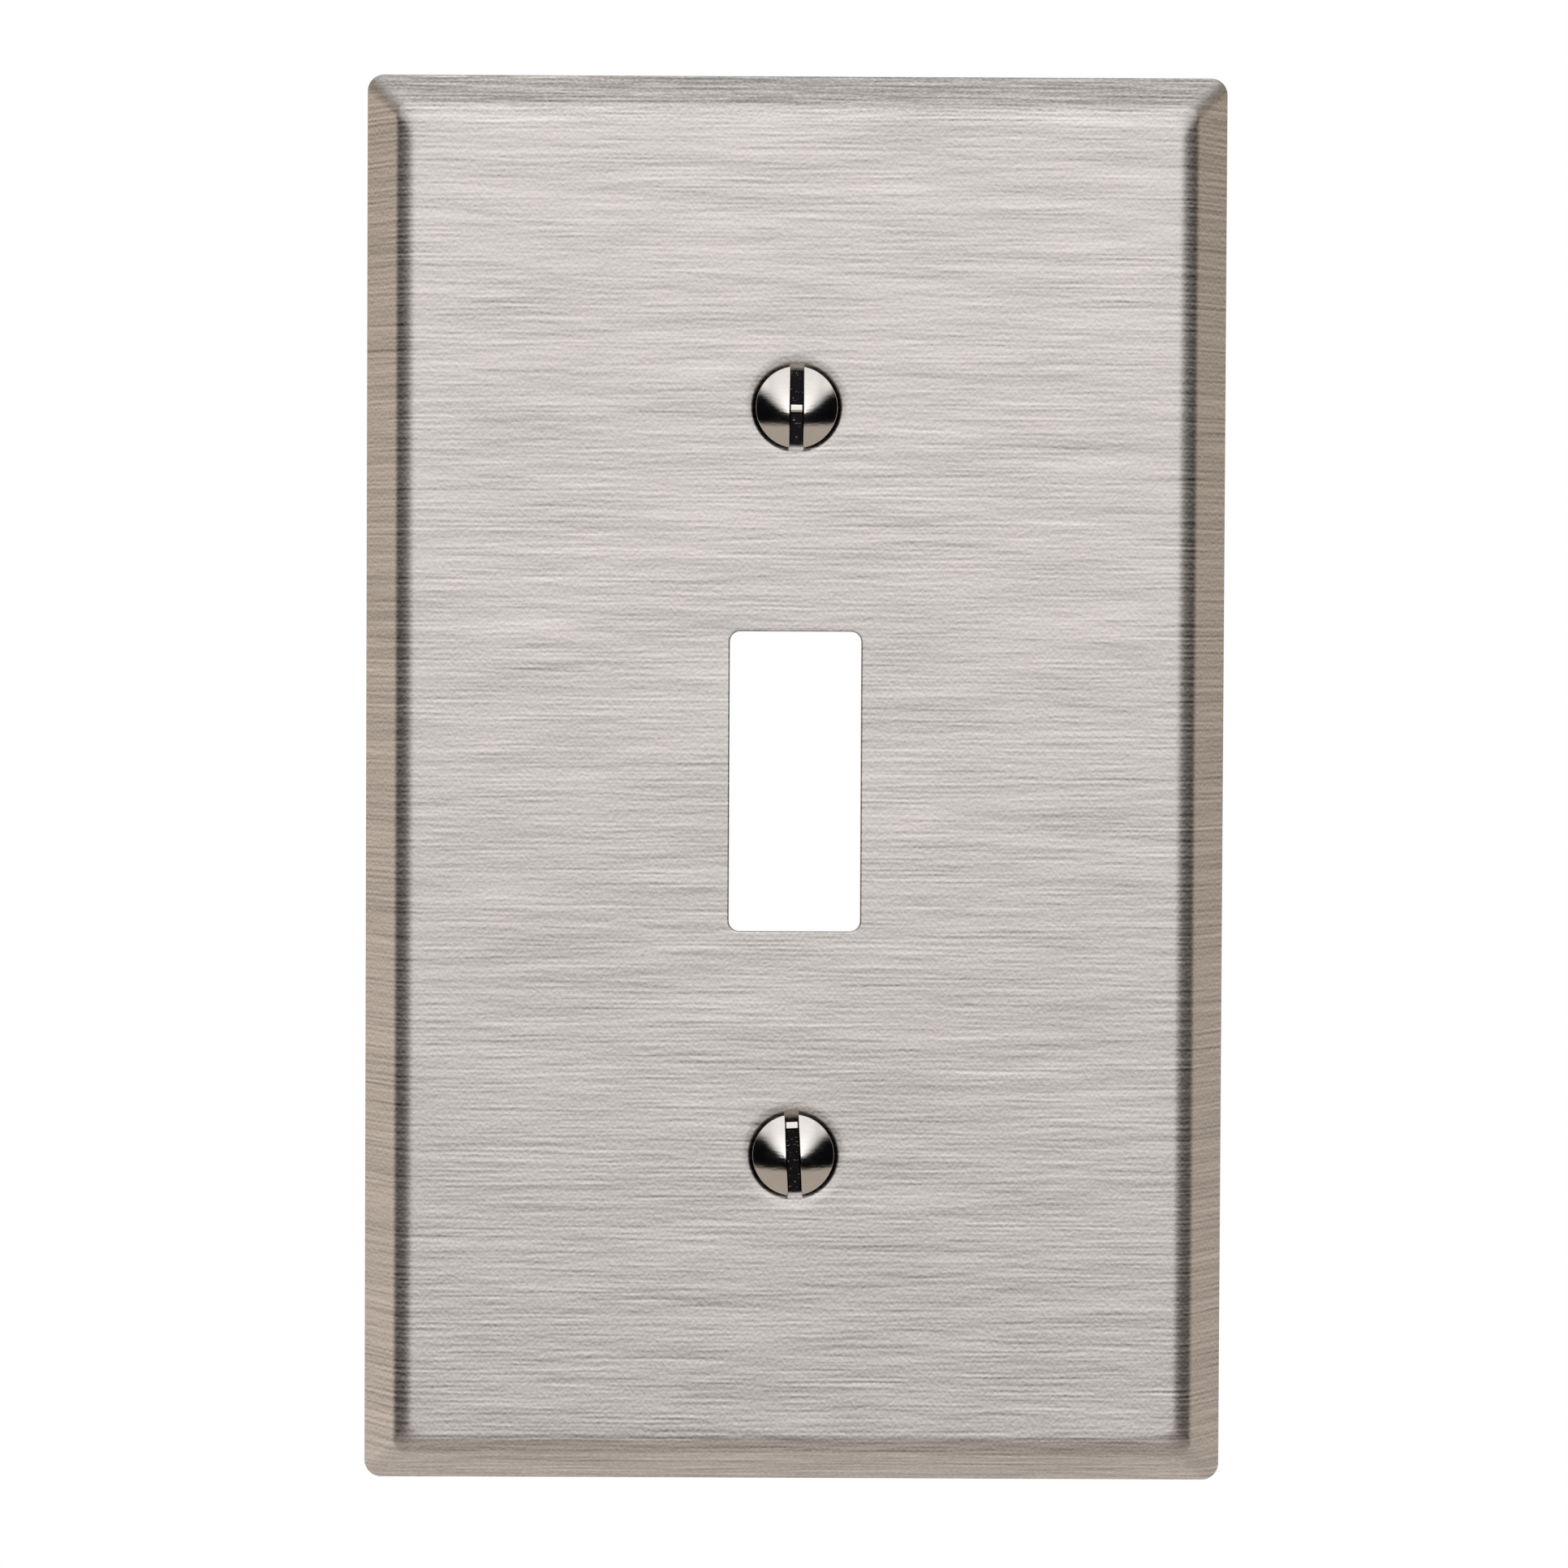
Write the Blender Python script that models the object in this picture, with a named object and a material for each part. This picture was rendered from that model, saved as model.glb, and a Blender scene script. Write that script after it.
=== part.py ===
"""Single-gang toggle wall plate pressed from sheet steel, with its two oval-head fixing screws.

Metres, +Z up. The wall is the plane y = 0 and the plate's front faces -Y. The origin is the
middle of the plate's outline on the wall.
"""

import math

import bmesh
import bpy

MM = 0.001

# Wall plate
PLATE_WIDTH = 69.85 * MM
PLATE_HEIGHT = 114.3 * MM
PLATE_DEPTH = 5.59 * MM
SHEET = 0.8 * MM
BORDER_ANGLE = math.radians(61.0)
BEND_RADIUS = 2.15 * MM
OUTLINE_CORNER = 1.35 * MM
INNER_CORNER = 0.4 * MM

# Toggle opening
OPENING_WIDTH = 10.6 * MM
OPENING_HEIGHT = 24.2 * MM
OPENING_CORNER = 0.85 * MM

# Screw places, and the dimples that the heads sit in
SCREW_SPACING = 60.325 * MM
DIMPLE_GAP = 0.3 * MM
DIMPLE_LIP_RADIUS = 0.6 * MM
HOLE_CLEARANCE = 0.35 * MM

# Screws, number 6-32 with an 82 degree raised countersunk head
HEAD_DIAMETER = 6.6 * MM
HEAD_ANGLE = math.radians(82.0)
HEAD_LAND = 0.12 * MM
CROWN_HEIGHT = 1.1 * MM
SCREW_LENGTH = 7.94 * MM
THREAD_DIAMETER = 3.505 * MM
THREAD_PITCH = 25.4 / 32 * MM
END_CHAMFER = 0.3 * MM
SLOT_WIDTH = 1.1 * MM
SLOT_DEPTH = 1.6 * MM
CUTTER_OVER = 0.5 * MM
UPPER_SLOT_TURN = math.radians(-0.5)
LOWER_SLOT_TURN = math.radians(2.7)

# Facets
CORNER_STEPS = 6
BEND_STEPS = 8
DIMPLE_FACETS = 48
LIP_STEPS = 4
SCREW_FACETS = 32
CROWN_STEPS = 6

# Thread form: a crest of an eighth of the pitch, a root of a quarter, 60 degree flanks
THREAD_DEPTH = 0.625 * math.cos(math.radians(30.0)) * THREAD_PITCH
ROOT_RADIUS = THREAD_DIAMETER / 2 - THREAD_DEPTH
ROOT_FLAT = THREAD_PITCH / 4
CREST_FLAT = THREAD_PITCH / 8
FLANK = (THREAD_PITCH - ROOT_FLAT - CREST_FLAT) / 2
THREAD_FADE_TURNS = 0.5
PLAIN_END_TURNS = 0.3

CONE_SLOPE = math.tan(HEAD_ANGLE / 2)
HEAD_RADIUS = HEAD_DIAMETER / 2


def clear_scene():
    for obj in list(bpy.data.objects):
        bpy.data.objects.remove(obj, do_unlink=True)


def make_material(name, colour, roughness, metallic):
    material = bpy.data.materials.new(name)
    material.use_nodes = True
    shader = material.node_tree.nodes["Principled BSDF"]
    shader.inputs["Base Color"].default_value = (*colour, 1.0)
    shader.inputs["Roughness"].default_value = roughness
    shader.inputs["Metallic"].default_value = metallic
    return material


def make_object(name, bm, material):
    """Turn a finished closed bmesh into an object, with its faces pointing out."""
    bmesh.ops.recalc_face_normals(bm, faces=bm.faces)
    mesh = bpy.data.meshes.new(name)
    bm.to_mesh(mesh)
    bm.free()
    mesh.materials.append(material)
    mesh.shade_smooth()
    mesh.set_sharp_from_angle(angle=math.radians(25.0))
    obj = bpy.data.objects.new(name, mesh)
    bpy.context.scene.collection.objects.link(obj)
    return obj


def bridge(bm, ring_a, ring_b):
    """Join two rings of as many vertices with a band of quads."""
    count = len(ring_a)
    for i in range(count):
        j = (i + 1) % count
        bm.faces.new((ring_a[i], ring_a[j], ring_b[j], ring_b[i]))


def bridge_all(bm, rings):
    for ring_a, ring_b in zip(rings, rings[1:]):
        bridge(bm, ring_a, ring_b)


def ring_edges(bm, ring):
    return [bm.edges.get((a, b)) for a, b in zip(ring, ring[1:] + ring[:1])]


# ---- wall plate ----------------------------------------------------------------------------


def rectangle_ring(bm, half_width, half_height, corner, height):
    """A rounded rectangle, standing the given height in front of the wall."""
    ring = []
    for quarter in range(4):
        side_x = 1 if quarter in (0, 3) else -1
        side_z = 1 if quarter in (0, 1) else -1
        for step in range(CORNER_STEPS + 1):
            angle = math.pi / 2 * (quarter + step / CORNER_STEPS)
            x = side_x * (half_width - corner) + corner * math.cos(angle)
            z = side_z * (half_height - corner) + corner * math.sin(angle)
            ring.append(bm.verts.new((x, -height, z)))
    return ring


def border_inset():
    """How far inside the outline the flat face begins."""
    bend_run = BEND_RADIUS * math.sin(BORDER_ANGLE)
    slope_rise = PLATE_DEPTH - BEND_RADIUS * (1 - math.cos(BORDER_ANGLE))
    return bend_run + slope_rise / math.tan(BORDER_ANGLE)


def border_profile(skin_depth):
    """(inset, height) along the border, from the wall up to the face, on the front skin or,
    with the sheet's thickness as skin_depth, on the back skin."""
    centre_inset = border_inset()
    centre_height = PLATE_DEPTH - BEND_RADIUS
    radius = BEND_RADIUS - skin_depth
    points = [(skin_depth / math.sin(BORDER_ANGLE), 0.0)]
    for step in range(BEND_STEPS + 1):
        angle = BORDER_ANGLE * (1 - step / BEND_STEPS)
        inset = centre_inset - radius * math.sin(angle)
        points.append((inset, centre_height + radius * math.cos(angle)))
    return points


def border_rings(bm, skin_depth, corner):
    """The border's rings, from the rim to the face, with the same corners all the way."""
    rings = []
    for inset, height in border_profile(skin_depth):
        rings.append(
            rectangle_ring(
                bm, PLATE_WIDTH / 2 - inset, PLATE_HEIGHT / 2 - inset, corner, height
            )
        )
    return rings


def circle_ring(bm, radius, height, centre_z):
    ring = []
    for i in range(DIMPLE_FACETS):
        angle = 2 * math.pi * i / DIMPLE_FACETS
        x = radius * math.cos(angle)
        z = centre_z + radius * math.sin(angle)
        ring.append(bm.verts.new((x, -height, z)))
    return ring


def dimple_rings(bm, centre_z):
    """A countersunk dimple from the face's front skin, round the hole, to its back skin."""
    half_angle = HEAD_ANGLE / 2
    mouth = HEAD_RADIUS + HEAD_LAND * CONE_SLOPE + DIMPLE_GAP / math.cos(half_angle)
    hole = THREAD_DIAMETER / 2 + HOLE_CLEARANCE
    turn = math.pi / 2 - half_angle
    lip_start = mouth + DIMPLE_LIP_RADIUS * math.tan(turn / 2)
    front = []
    for step in range(LIP_STEPS + 1):
        angle = turn * step / LIP_STEPS
        radius = lip_start - DIMPLE_LIP_RADIUS * math.sin(angle)
        front.append((radius, DIMPLE_LIP_RADIUS * (1 - math.cos(angle))))
    hole_depth = (mouth - hole) / CONE_SLOPE
    front.append((hole, hole_depth))
    back_hole = (hole + SHEET * math.cos(half_angle), hole_depth + SHEET * math.sin(half_angle))
    back_mouth = (mouth + SHEET / math.cos(half_angle) - SHEET * CONE_SLOPE, SHEET)
    profile = front + [back_hole, back_mouth]
    return [circle_ring(bm, radius, PLATE_DEPTH - depth, centre_z) for radius, depth in profile]


def fill_face(bm, rings):
    """Fill the flat skin between its outline and the openings in it."""
    edges = [edge for ring in rings for edge in ring_edges(bm, ring)]
    bmesh.ops.triangle_fill(bm, use_beauty=True, edges=edges, normal=(0.0, -1.0, 0.0))


def make_wall_plate(material):
    bm = bmesh.new()
    front = border_rings(bm, 0.0, OUTLINE_CORNER)
    back = border_rings(bm, SHEET, INNER_CORNER)
    bridge_all(bm, front)
    bridge_all(bm, back)
    bridge(bm, front[0], back[0])
    opening = [
        rectangle_ring(bm, OPENING_WIDTH / 2, OPENING_HEIGHT / 2, OPENING_CORNER, height)
        for height in (PLATE_DEPTH, PLATE_DEPTH - SHEET)
    ]
    bridge_all(bm, opening)
    dimples = [dimple_rings(bm, side * SCREW_SPACING / 2) for side in (1, -1)]
    for rings in dimples:
        bridge_all(bm, rings)
    fill_face(bm, [front[-1], opening[0], dimples[0][0], dimples[1][0]])
    fill_face(bm, [back[-1], opening[1], dimples[0][-1], dimples[1][-1]])
    return make_object("wall_plate", bm, material)


# ---- screws, drawn with the head's edge at y = 0, the crown at -y and the shank at +y ----------


def turned_ring(bm, radius, y):
    ring = []
    for i in range(SCREW_FACETS):
        angle = 2 * math.pi * i / SCREW_FACETS
        ring.append(bm.verts.new((radius * math.cos(angle), y, radius * math.sin(angle))))
    return ring


def crown_rings(bm):
    """The raised crown, part of a ball, from near its top to the head's edge."""
    ball = (HEAD_RADIUS**2 + CROWN_HEIGHT**2) / (2 * CROWN_HEIGHT)
    edge_angle = math.asin(HEAD_RADIUS / ball)
    rings = []
    for step in range(1, CROWN_STEPS + 1):
        angle = edge_angle * step / CROWN_STEPS
        drop = ball * (1 - math.cos(angle))
        rings.append(turned_ring(bm, ball * math.sin(angle), drop - CROWN_HEIGHT))
    return rings


def thread_crest(turns, total_turns):
    """The crest's radius, which fades into the root at both ends of the thread."""
    fade = min(turns, total_turns - turns) / THREAD_FADE_TURNS
    return ROOT_RADIUS + THREAD_DEPTH * max(0.0, min(1.0, fade))


def thread_columns(bm, start_y, total_turns):
    """Columns of vertices along the helix. Each holds the root's two edges and the crest's two
    edges for one pitch, and one more turn of single vertices closes the last root."""
    crest_start = ROOT_FLAT + FLANK
    columns = []
    for k in range((total_turns + 1) * SCREW_FACETS + 1):
        turns = k / SCREW_FACETS
        angle = 2 * math.pi * turns
        y = start_y + THREAD_PITCH * turns
        points = [(ROOT_RADIUS, y)]
        if k <= total_turns * SCREW_FACETS:
            crest = thread_crest(turns, total_turns)
            points.append((ROOT_RADIUS, y + ROOT_FLAT))
            points.append((crest, y + crest_start))
            points.append((crest, y + crest_start + CREST_FLAT))
        columns.append(
            [bm.verts.new((r * math.cos(angle), py, r * math.sin(angle))) for r, py in points]
        )
    return columns


def make_thread(bm, head_ring, start_y, total_turns):
    """Skin the helix, join its start to head_ring, and return the columns of its open end."""
    count = SCREW_FACETS
    columns = thread_columns(bm, start_y, total_turns)
    for k in range(total_turns * count):
        left = columns[k] + [columns[k + count][0]]
        right = columns[k + 1] + [columns[k + 1 + count][0]]
        for row in range(len(left) - 1):
            bm.faces.new((left[row], right[row], right[row + 1], left[row + 1]))
    for j in range(count - 1):
        bm.faces.new((head_ring[j], head_ring[j + 1], columns[j + 1][0], columns[j][0]))
    bm.faces.new(
        (head_ring[count - 1], head_ring[0], *columns[0], columns[count][0], columns[count - 1][0])
    )
    return columns[total_turns * count :]


def close_thread(bm, end_columns, end_ring):
    """Join the thread's open end to the plain ring behind it."""
    count = SCREW_FACETS
    for j in range(1, count):
        following = end_ring[(j + 1) % count]
        bm.faces.new((end_columns[j][0], end_columns[j + 1][0], following, end_ring[j]))
    root, *profile = end_columns[0]
    bm.faces.new(
        (
            root,
            end_columns[1][0],
            end_ring[1],
            end_ring[0],
            end_columns[count][0],
            *reversed(profile),
        )
    )


def screw_mesh():
    bm = bmesh.new()
    crown = crown_rings(bm)
    top = bm.verts.new((0.0, -CROWN_HEIGHT, 0.0))
    for i in range(SCREW_FACETS):
        bm.faces.new((top, crown[0][i], crown[0][(i + 1) % SCREW_FACETS]))
    neck_y = HEAD_LAND + (HEAD_RADIUS - ROOT_RADIUS) / CONE_SLOPE
    neck = turned_ring(bm, ROOT_RADIUS, neck_y)
    bridge_all(bm, crown + [turned_ring(bm, HEAD_RADIUS, HEAD_LAND), neck])
    # The thread takes whole turns; what is over is shared by the plain ends of the shank.
    shank = SCREW_LENGTH - END_CHAMFER - neck_y
    total_turns = int(shank / THREAD_PITCH - PLAIN_END_TURNS) - 1
    spare = shank - (total_turns + 1) * THREAD_PITCH
    end_columns = make_thread(bm, neck, neck_y + spare / 2, total_turns)
    shoulder = turned_ring(bm, ROOT_RADIUS, SCREW_LENGTH - END_CHAMFER)
    close_thread(bm, end_columns, shoulder)
    tip = turned_ring(bm, ROOT_RADIUS - END_CHAMFER, SCREW_LENGTH)
    bridge(bm, shoulder, tip)
    bm.faces.new(tip)
    return bm


def make_slot_cutter(name, screw):
    """A bar that mills the driver's slot right across the head."""
    bm = bmesh.new()
    bmesh.ops.create_cube(bm, size=1.0)
    height = SLOT_DEPTH + CUTTER_OVER
    length = HEAD_DIAMETER + 2 * CUTTER_OVER
    bmesh.ops.scale(bm, vec=(SLOT_WIDTH, height, length), verts=bm.verts)
    middle = -CROWN_HEIGHT - CUTTER_OVER + height / 2
    bmesh.ops.translate(bm, vec=(0.0, middle, 0.0), verts=bm.verts)
    cutter = make_object(name, bm, screw.data.materials[0])
    cutter.parent = screw
    cutter.hide_render = True
    cutter.display_type = "WIRE"
    return cutter


def make_screw(name, centre_z, slot_turn, material):
    """A screw whose origin is on its own axis, at the face of the plate."""
    screw = make_object(name, screw_mesh(), material)
    screw.location = (0.0, -PLATE_DEPTH, centre_z)
    screw.rotation_euler = (0.0, -slot_turn, 0.0)
    slot = screw.modifiers.new("slot", "BOOLEAN")
    slot.operation = "DIFFERENCE"
    slot.solver = "EXACT"
    slot.object = make_slot_cutter(name + "_slot_cutter", screw)
    return screw


def main():
    clear_scene()
    plate_steel = make_material("plate_steel", (0.56, 0.54, 0.52), 0.34, 1.0)
    screw_steel = make_material("screw_steel", (0.66, 0.63, 0.58), 0.16, 1.0)
    make_wall_plate(plate_steel)
    make_screw("upper_screw", SCREW_SPACING / 2, UPPER_SLOT_TURN, screw_steel)
    make_screw("lower_screw", -SCREW_SPACING / 2, LOWER_SLOT_TURN, screw_steel)


main()
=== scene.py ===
"""The looks of a brushed stainless toggle wall plate and its two slotted oval-head screws.

The plate is drawn again as one pressed sheet with rounded bends, dimples and cut edges, and each
screw as a milled, nickel-plated head on a rolled thread. Metres, +Z up, the wall at y = 0 and the
front towards -Y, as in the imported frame.
"""

import math

import bmesh
import bpy
from mathutils import Matrix, Vector
from mathutils.geometry import delaunay_2d_cdt


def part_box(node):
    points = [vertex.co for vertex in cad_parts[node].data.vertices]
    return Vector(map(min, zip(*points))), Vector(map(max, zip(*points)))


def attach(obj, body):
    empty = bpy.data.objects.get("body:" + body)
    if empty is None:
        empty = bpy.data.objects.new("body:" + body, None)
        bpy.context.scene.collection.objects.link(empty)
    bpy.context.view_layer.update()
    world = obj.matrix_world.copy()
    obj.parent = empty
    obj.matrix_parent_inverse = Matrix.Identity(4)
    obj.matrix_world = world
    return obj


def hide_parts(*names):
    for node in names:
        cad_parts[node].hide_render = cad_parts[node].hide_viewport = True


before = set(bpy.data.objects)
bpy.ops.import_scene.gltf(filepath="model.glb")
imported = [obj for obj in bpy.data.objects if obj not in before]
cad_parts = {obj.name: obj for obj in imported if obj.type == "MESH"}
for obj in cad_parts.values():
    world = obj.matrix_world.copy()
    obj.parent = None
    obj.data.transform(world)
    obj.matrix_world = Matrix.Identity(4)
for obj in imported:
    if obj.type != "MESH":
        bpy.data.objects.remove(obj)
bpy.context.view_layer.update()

MM = 0.001

# The plate's sheet, border and edges
SHEET = 0.8 * MM
BORDER_ANGLE = math.radians(61.0)
BEND_RADIUS = 2.15 * MM
OUTLINE_CORNER = 1.35 * MM
INNER_CORNER = 0.4 * MM
RIM_ROUNDING = 0.15 * MM
CUT_ROUNDING = 0.05 * MM
CORNER_STEPS = 12
BEND_STEPS = 18
EDGE_STEPS = 4

# The toggle opening
OPENING_WIDTH = 10.6 * MM
OPENING_HEIGHT = 24.2 * MM
OPENING_CORNER = 0.85 * MM
DIE_ROLL = 0.14 * MM

# The dimples round the screws: a shallow dish, a flared wall, and the cone that the head seats in
DISH_ANGLE = math.radians(11.0)
DISH_RADIUS = 4.15 * MM
DISH_ROUNDING = 2.6 * MM
FLARE_ANGLE = math.radians(41.0)
FLARE_RADIUS = 3.66 * MM
FLARE_ROUNDING = 0.25 * MM
SEAT_GAP = 0.03 * MM
DIMPLE_HOLE = 2.1 * MM
DIMPLE_STEPS = 96
DISH_STEPS = 10
LIP_STEPS = 8

# The screws
HEAD_ANGLE = math.radians(82.0)
HEAD_LAND = 0.12 * MM
CROWN_HEIGHT = 1.1 * MM
RIM_FILLET = 0.14 * MM
SLOT_FILLET = 0.06 * MM
SLOT_WIDTH = 1.1 * MM
SLOT_DEPTH = 1.6 * MM
SLOT_FLOOR_FILLET = 0.1 * MM
FILLET_STEPS = 5
ARC_STEPS = 42
SLOT_END_STEPS = 6
SCREW_FACETS = 2 * (ARC_STEPS + SLOT_END_STEPS)
CROWN_COLUMNS = 16
THREAD_DIAMETER = 3.505 * MM
THREAD_PITCH = 25.4 / 32 * MM
THREAD_DEPTH = 0.625 * math.cos(math.radians(30.0)) * THREAD_PITCH
ROOT_RADIUS = THREAD_DIAMETER / 2 - THREAD_DEPTH
THREAD_FADE_TURNS = 0.5
PLAIN_END_TURNS = 0.3
END_CHAMFER = 0.3 * MM
UPPER_SLOT_TURN = math.radians(-0.5)
LOWER_SLOT_TURN = math.radians(2.7)
CONE_SLOPE = math.tan(HEAD_ANGLE / 2)

# Edges that bend more sharply than this stay sharp when shaded
PLATE_SHARP_ANGLE = math.radians(40.0)
SCREW_SHARP_ANGLE = math.radians(35.0)

# How the flat skins are filled: triangles all over, and points closer than this many mm are one
FILL_TRIANGLES = 0
FILL_TOLERANCE = 1e-6

# Places read from the frame
plate_low, plate_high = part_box("wall_plate")
PLATE_WIDTH = plate_high.x - plate_low.x
PLATE_HEIGHT = plate_high.z - plate_low.z
PLATE_DEPTH = plate_high.y - plate_low.y
screw_low, screw_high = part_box("upper_screw")
HEAD_RADIUS = (screw_high.x - screw_low.x) / 2
SCREW_LENGTH = screw_high.y - plate_low.y
BALL_RADIUS = (HEAD_RADIUS**2 + CROWN_HEIGHT**2) / (2 * CROWN_HEIGHT)


# ---- outlines --------------------------------------------------------------------------------


def round_corner(before, corner, after, radius, steps):
    """Points of an arc that rounds the corner between two straight runs."""
    back = (before - corner).normalized()
    ahead = (after - corner).normalized()
    half = back.angle(ahead) / 2
    centre = corner + (back + ahead).normalized() * (radius / math.sin(half))
    start = corner + back * (radius / math.tan(half)) - centre
    sweep = math.pi - 2 * half
    if back.x * ahead.y - back.y * ahead.x > 0:
        sweep = -sweep
    return [centre + Matrix.Rotation(sweep * k / steps, 2) @ start for k in range(steps + 1)]


def rounded_path(points, roundings):
    """An open path of 2-D points. Each inner point is rounded as (radius, steps) says."""
    points = [Vector(p) for p in points]
    path = [points[0]]
    for i, (radius, steps) in enumerate(roundings, start=1):
        path += round_corner(points[i - 1], points[i], points[i + 1], radius, steps)
    return path + [points[-1]]


def bridge(bm, ring_a, ring_b, material=0):
    """Join two rings of as many vertices with a band of quads."""
    count = len(ring_a)
    for i in range(count):
        j = (i + 1) % count
        face = bm.faces.new((ring_a[i], ring_a[j], ring_b[j], ring_b[i]))
        face.material_index = material


def finish_mesh(name, bm, materials, sharp_angle):
    """A shaded object from a closed bmesh. Large faces keep their own normals beside fillets."""
    bmesh.ops.recalc_face_normals(bm, faces=bm.faces)
    mesh = bpy.data.meshes.new(name)
    bm.to_mesh(mesh)
    bm.free()
    for material in materials:
        mesh.materials.append(material)
    mesh.shade_smooth()
    mesh.set_sharp_from_angle(angle=sharp_angle)
    obj = bpy.data.objects.new(name, mesh)
    bpy.context.scene.collection.objects.link(obj)
    weighted = obj.modifiers.new("weighted_normals", "WEIGHTED_NORMAL")
    weighted.keep_sharp = True
    return obj


# ---- wall plate ------------------------------------------------------------------------------

# The places of the materials in the plate's list
FRONT, BACK, CUT = 0, 1, 2


def rectangle_ring(bm, half_width, half_height, corner, height):
    """A rounded rectangle, standing the given height in front of the wall."""
    ring = []
    for quarter in range(4):
        side_x = 1 if quarter in (0, 3) else -1
        side_z = 1 if quarter in (0, 1) else -1
        for step in range(CORNER_STEPS + 1):
            angle = math.pi / 2 * (quarter + step / CORNER_STEPS)
            x = side_x * (half_width - corner) + corner * math.cos(angle)
            z = side_z * (half_height - corner) + corner * math.sin(angle)
            ring.append(bm.verts.new((x, -height, z)))
    return ring


def circle_ring(bm, radius, height, centre_z):
    """A circle round a screw's place, standing the given height in front of the wall."""
    ring = []
    for i in range(DIMPLE_STEPS):
        angle = 2 * math.pi * i / DIMPLE_STEPS
        x = radius * math.cos(angle)
        z = centre_z + radius * math.sin(angle)
        ring.append(bm.verts.new((x, -height, z)))
    return ring


def border_path():
    """(inset, height) across the border: from the face's front skin out over the bend, down to
    the wall, round the cut edge, and back inside to the back skin."""
    slope = math.tan(BORDER_ANGLE)
    # The rounded rim ends where the sharp outline would, so the whole width is kept.
    rim = -RIM_ROUNDING * (1 / math.tan(BORDER_ANGLE / 2) - 1)
    across = SHEET / math.sin(BORDER_ANGLE)
    back_height = PLATE_DEPTH - SHEET
    face = PLATE_DEPTH / slope
    back = rim + across + back_height / slope
    flat = BEND_RADIUS
    return rounded_path(
        (
            (face + flat, PLATE_DEPTH),
            (face, PLATE_DEPTH),
            (rim, 0.0),
            (rim + across, 0.0),
            (back, back_height),
            (back + flat, back_height),
        ),
        (
            (BEND_RADIUS, BEND_STEPS),
            (RIM_ROUNDING, EDGE_STEPS),
            (CUT_ROUNDING, EDGE_STEPS),
            (BEND_RADIUS - SHEET, BEND_STEPS),
        ),
    )


def add_border(bm):
    """The border's bands. Returns its rings on the face's front and back skin."""
    rim_start = 1 + BEND_STEPS + 1
    rim_end = rim_start + 2 * EDGE_STEPS + 1
    rings = []
    for index, (inset, height) in enumerate(border_path()):
        corner = OUTLINE_CORNER if index <= rim_start + EDGE_STEPS else INNER_CORNER
        half_width = PLATE_WIDTH / 2 - inset
        half_height = PLATE_HEIGHT / 2 - inset
        rings.append(rectangle_ring(bm, half_width, half_height, corner, height))
    for index, (ring_a, ring_b) in enumerate(zip(rings, rings[1:])):
        material = FRONT if index < rim_start else CUT if index < rim_end else BACK
        bridge(bm, ring_a, ring_b, material)
    return rings[0], rings[-1]


def add_opening(bm):
    """The punched toggle opening: rolled over at the front, square at the back."""
    path = rounded_path(
        (
            (2 * DIE_ROLL, 0.0),
            (0.0, 0.0),
            (0.0, SHEET),
            (2 * DIE_ROLL, SHEET),
        ),
        ((DIE_ROLL, EDGE_STEPS + 2), (CUT_ROUNDING, EDGE_STEPS)),
    )
    rings = []
    for outset, depth in path:
        half_width = OPENING_WIDTH / 2 + outset
        half_height = OPENING_HEIGHT / 2 + outset
        corner = OPENING_CORNER + outset
        rings.append(rectangle_ring(bm, half_width, half_height, corner, PLATE_DEPTH - depth))
    roll_end = 2 + EDGE_STEPS // 2 + 1
    for index, (ring_a, ring_b) in enumerate(zip(rings, rings[1:])):
        bridge(bm, ring_a, ring_b, FRONT if index < roll_end else CUT)
    return rings[0], rings[-1]


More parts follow.
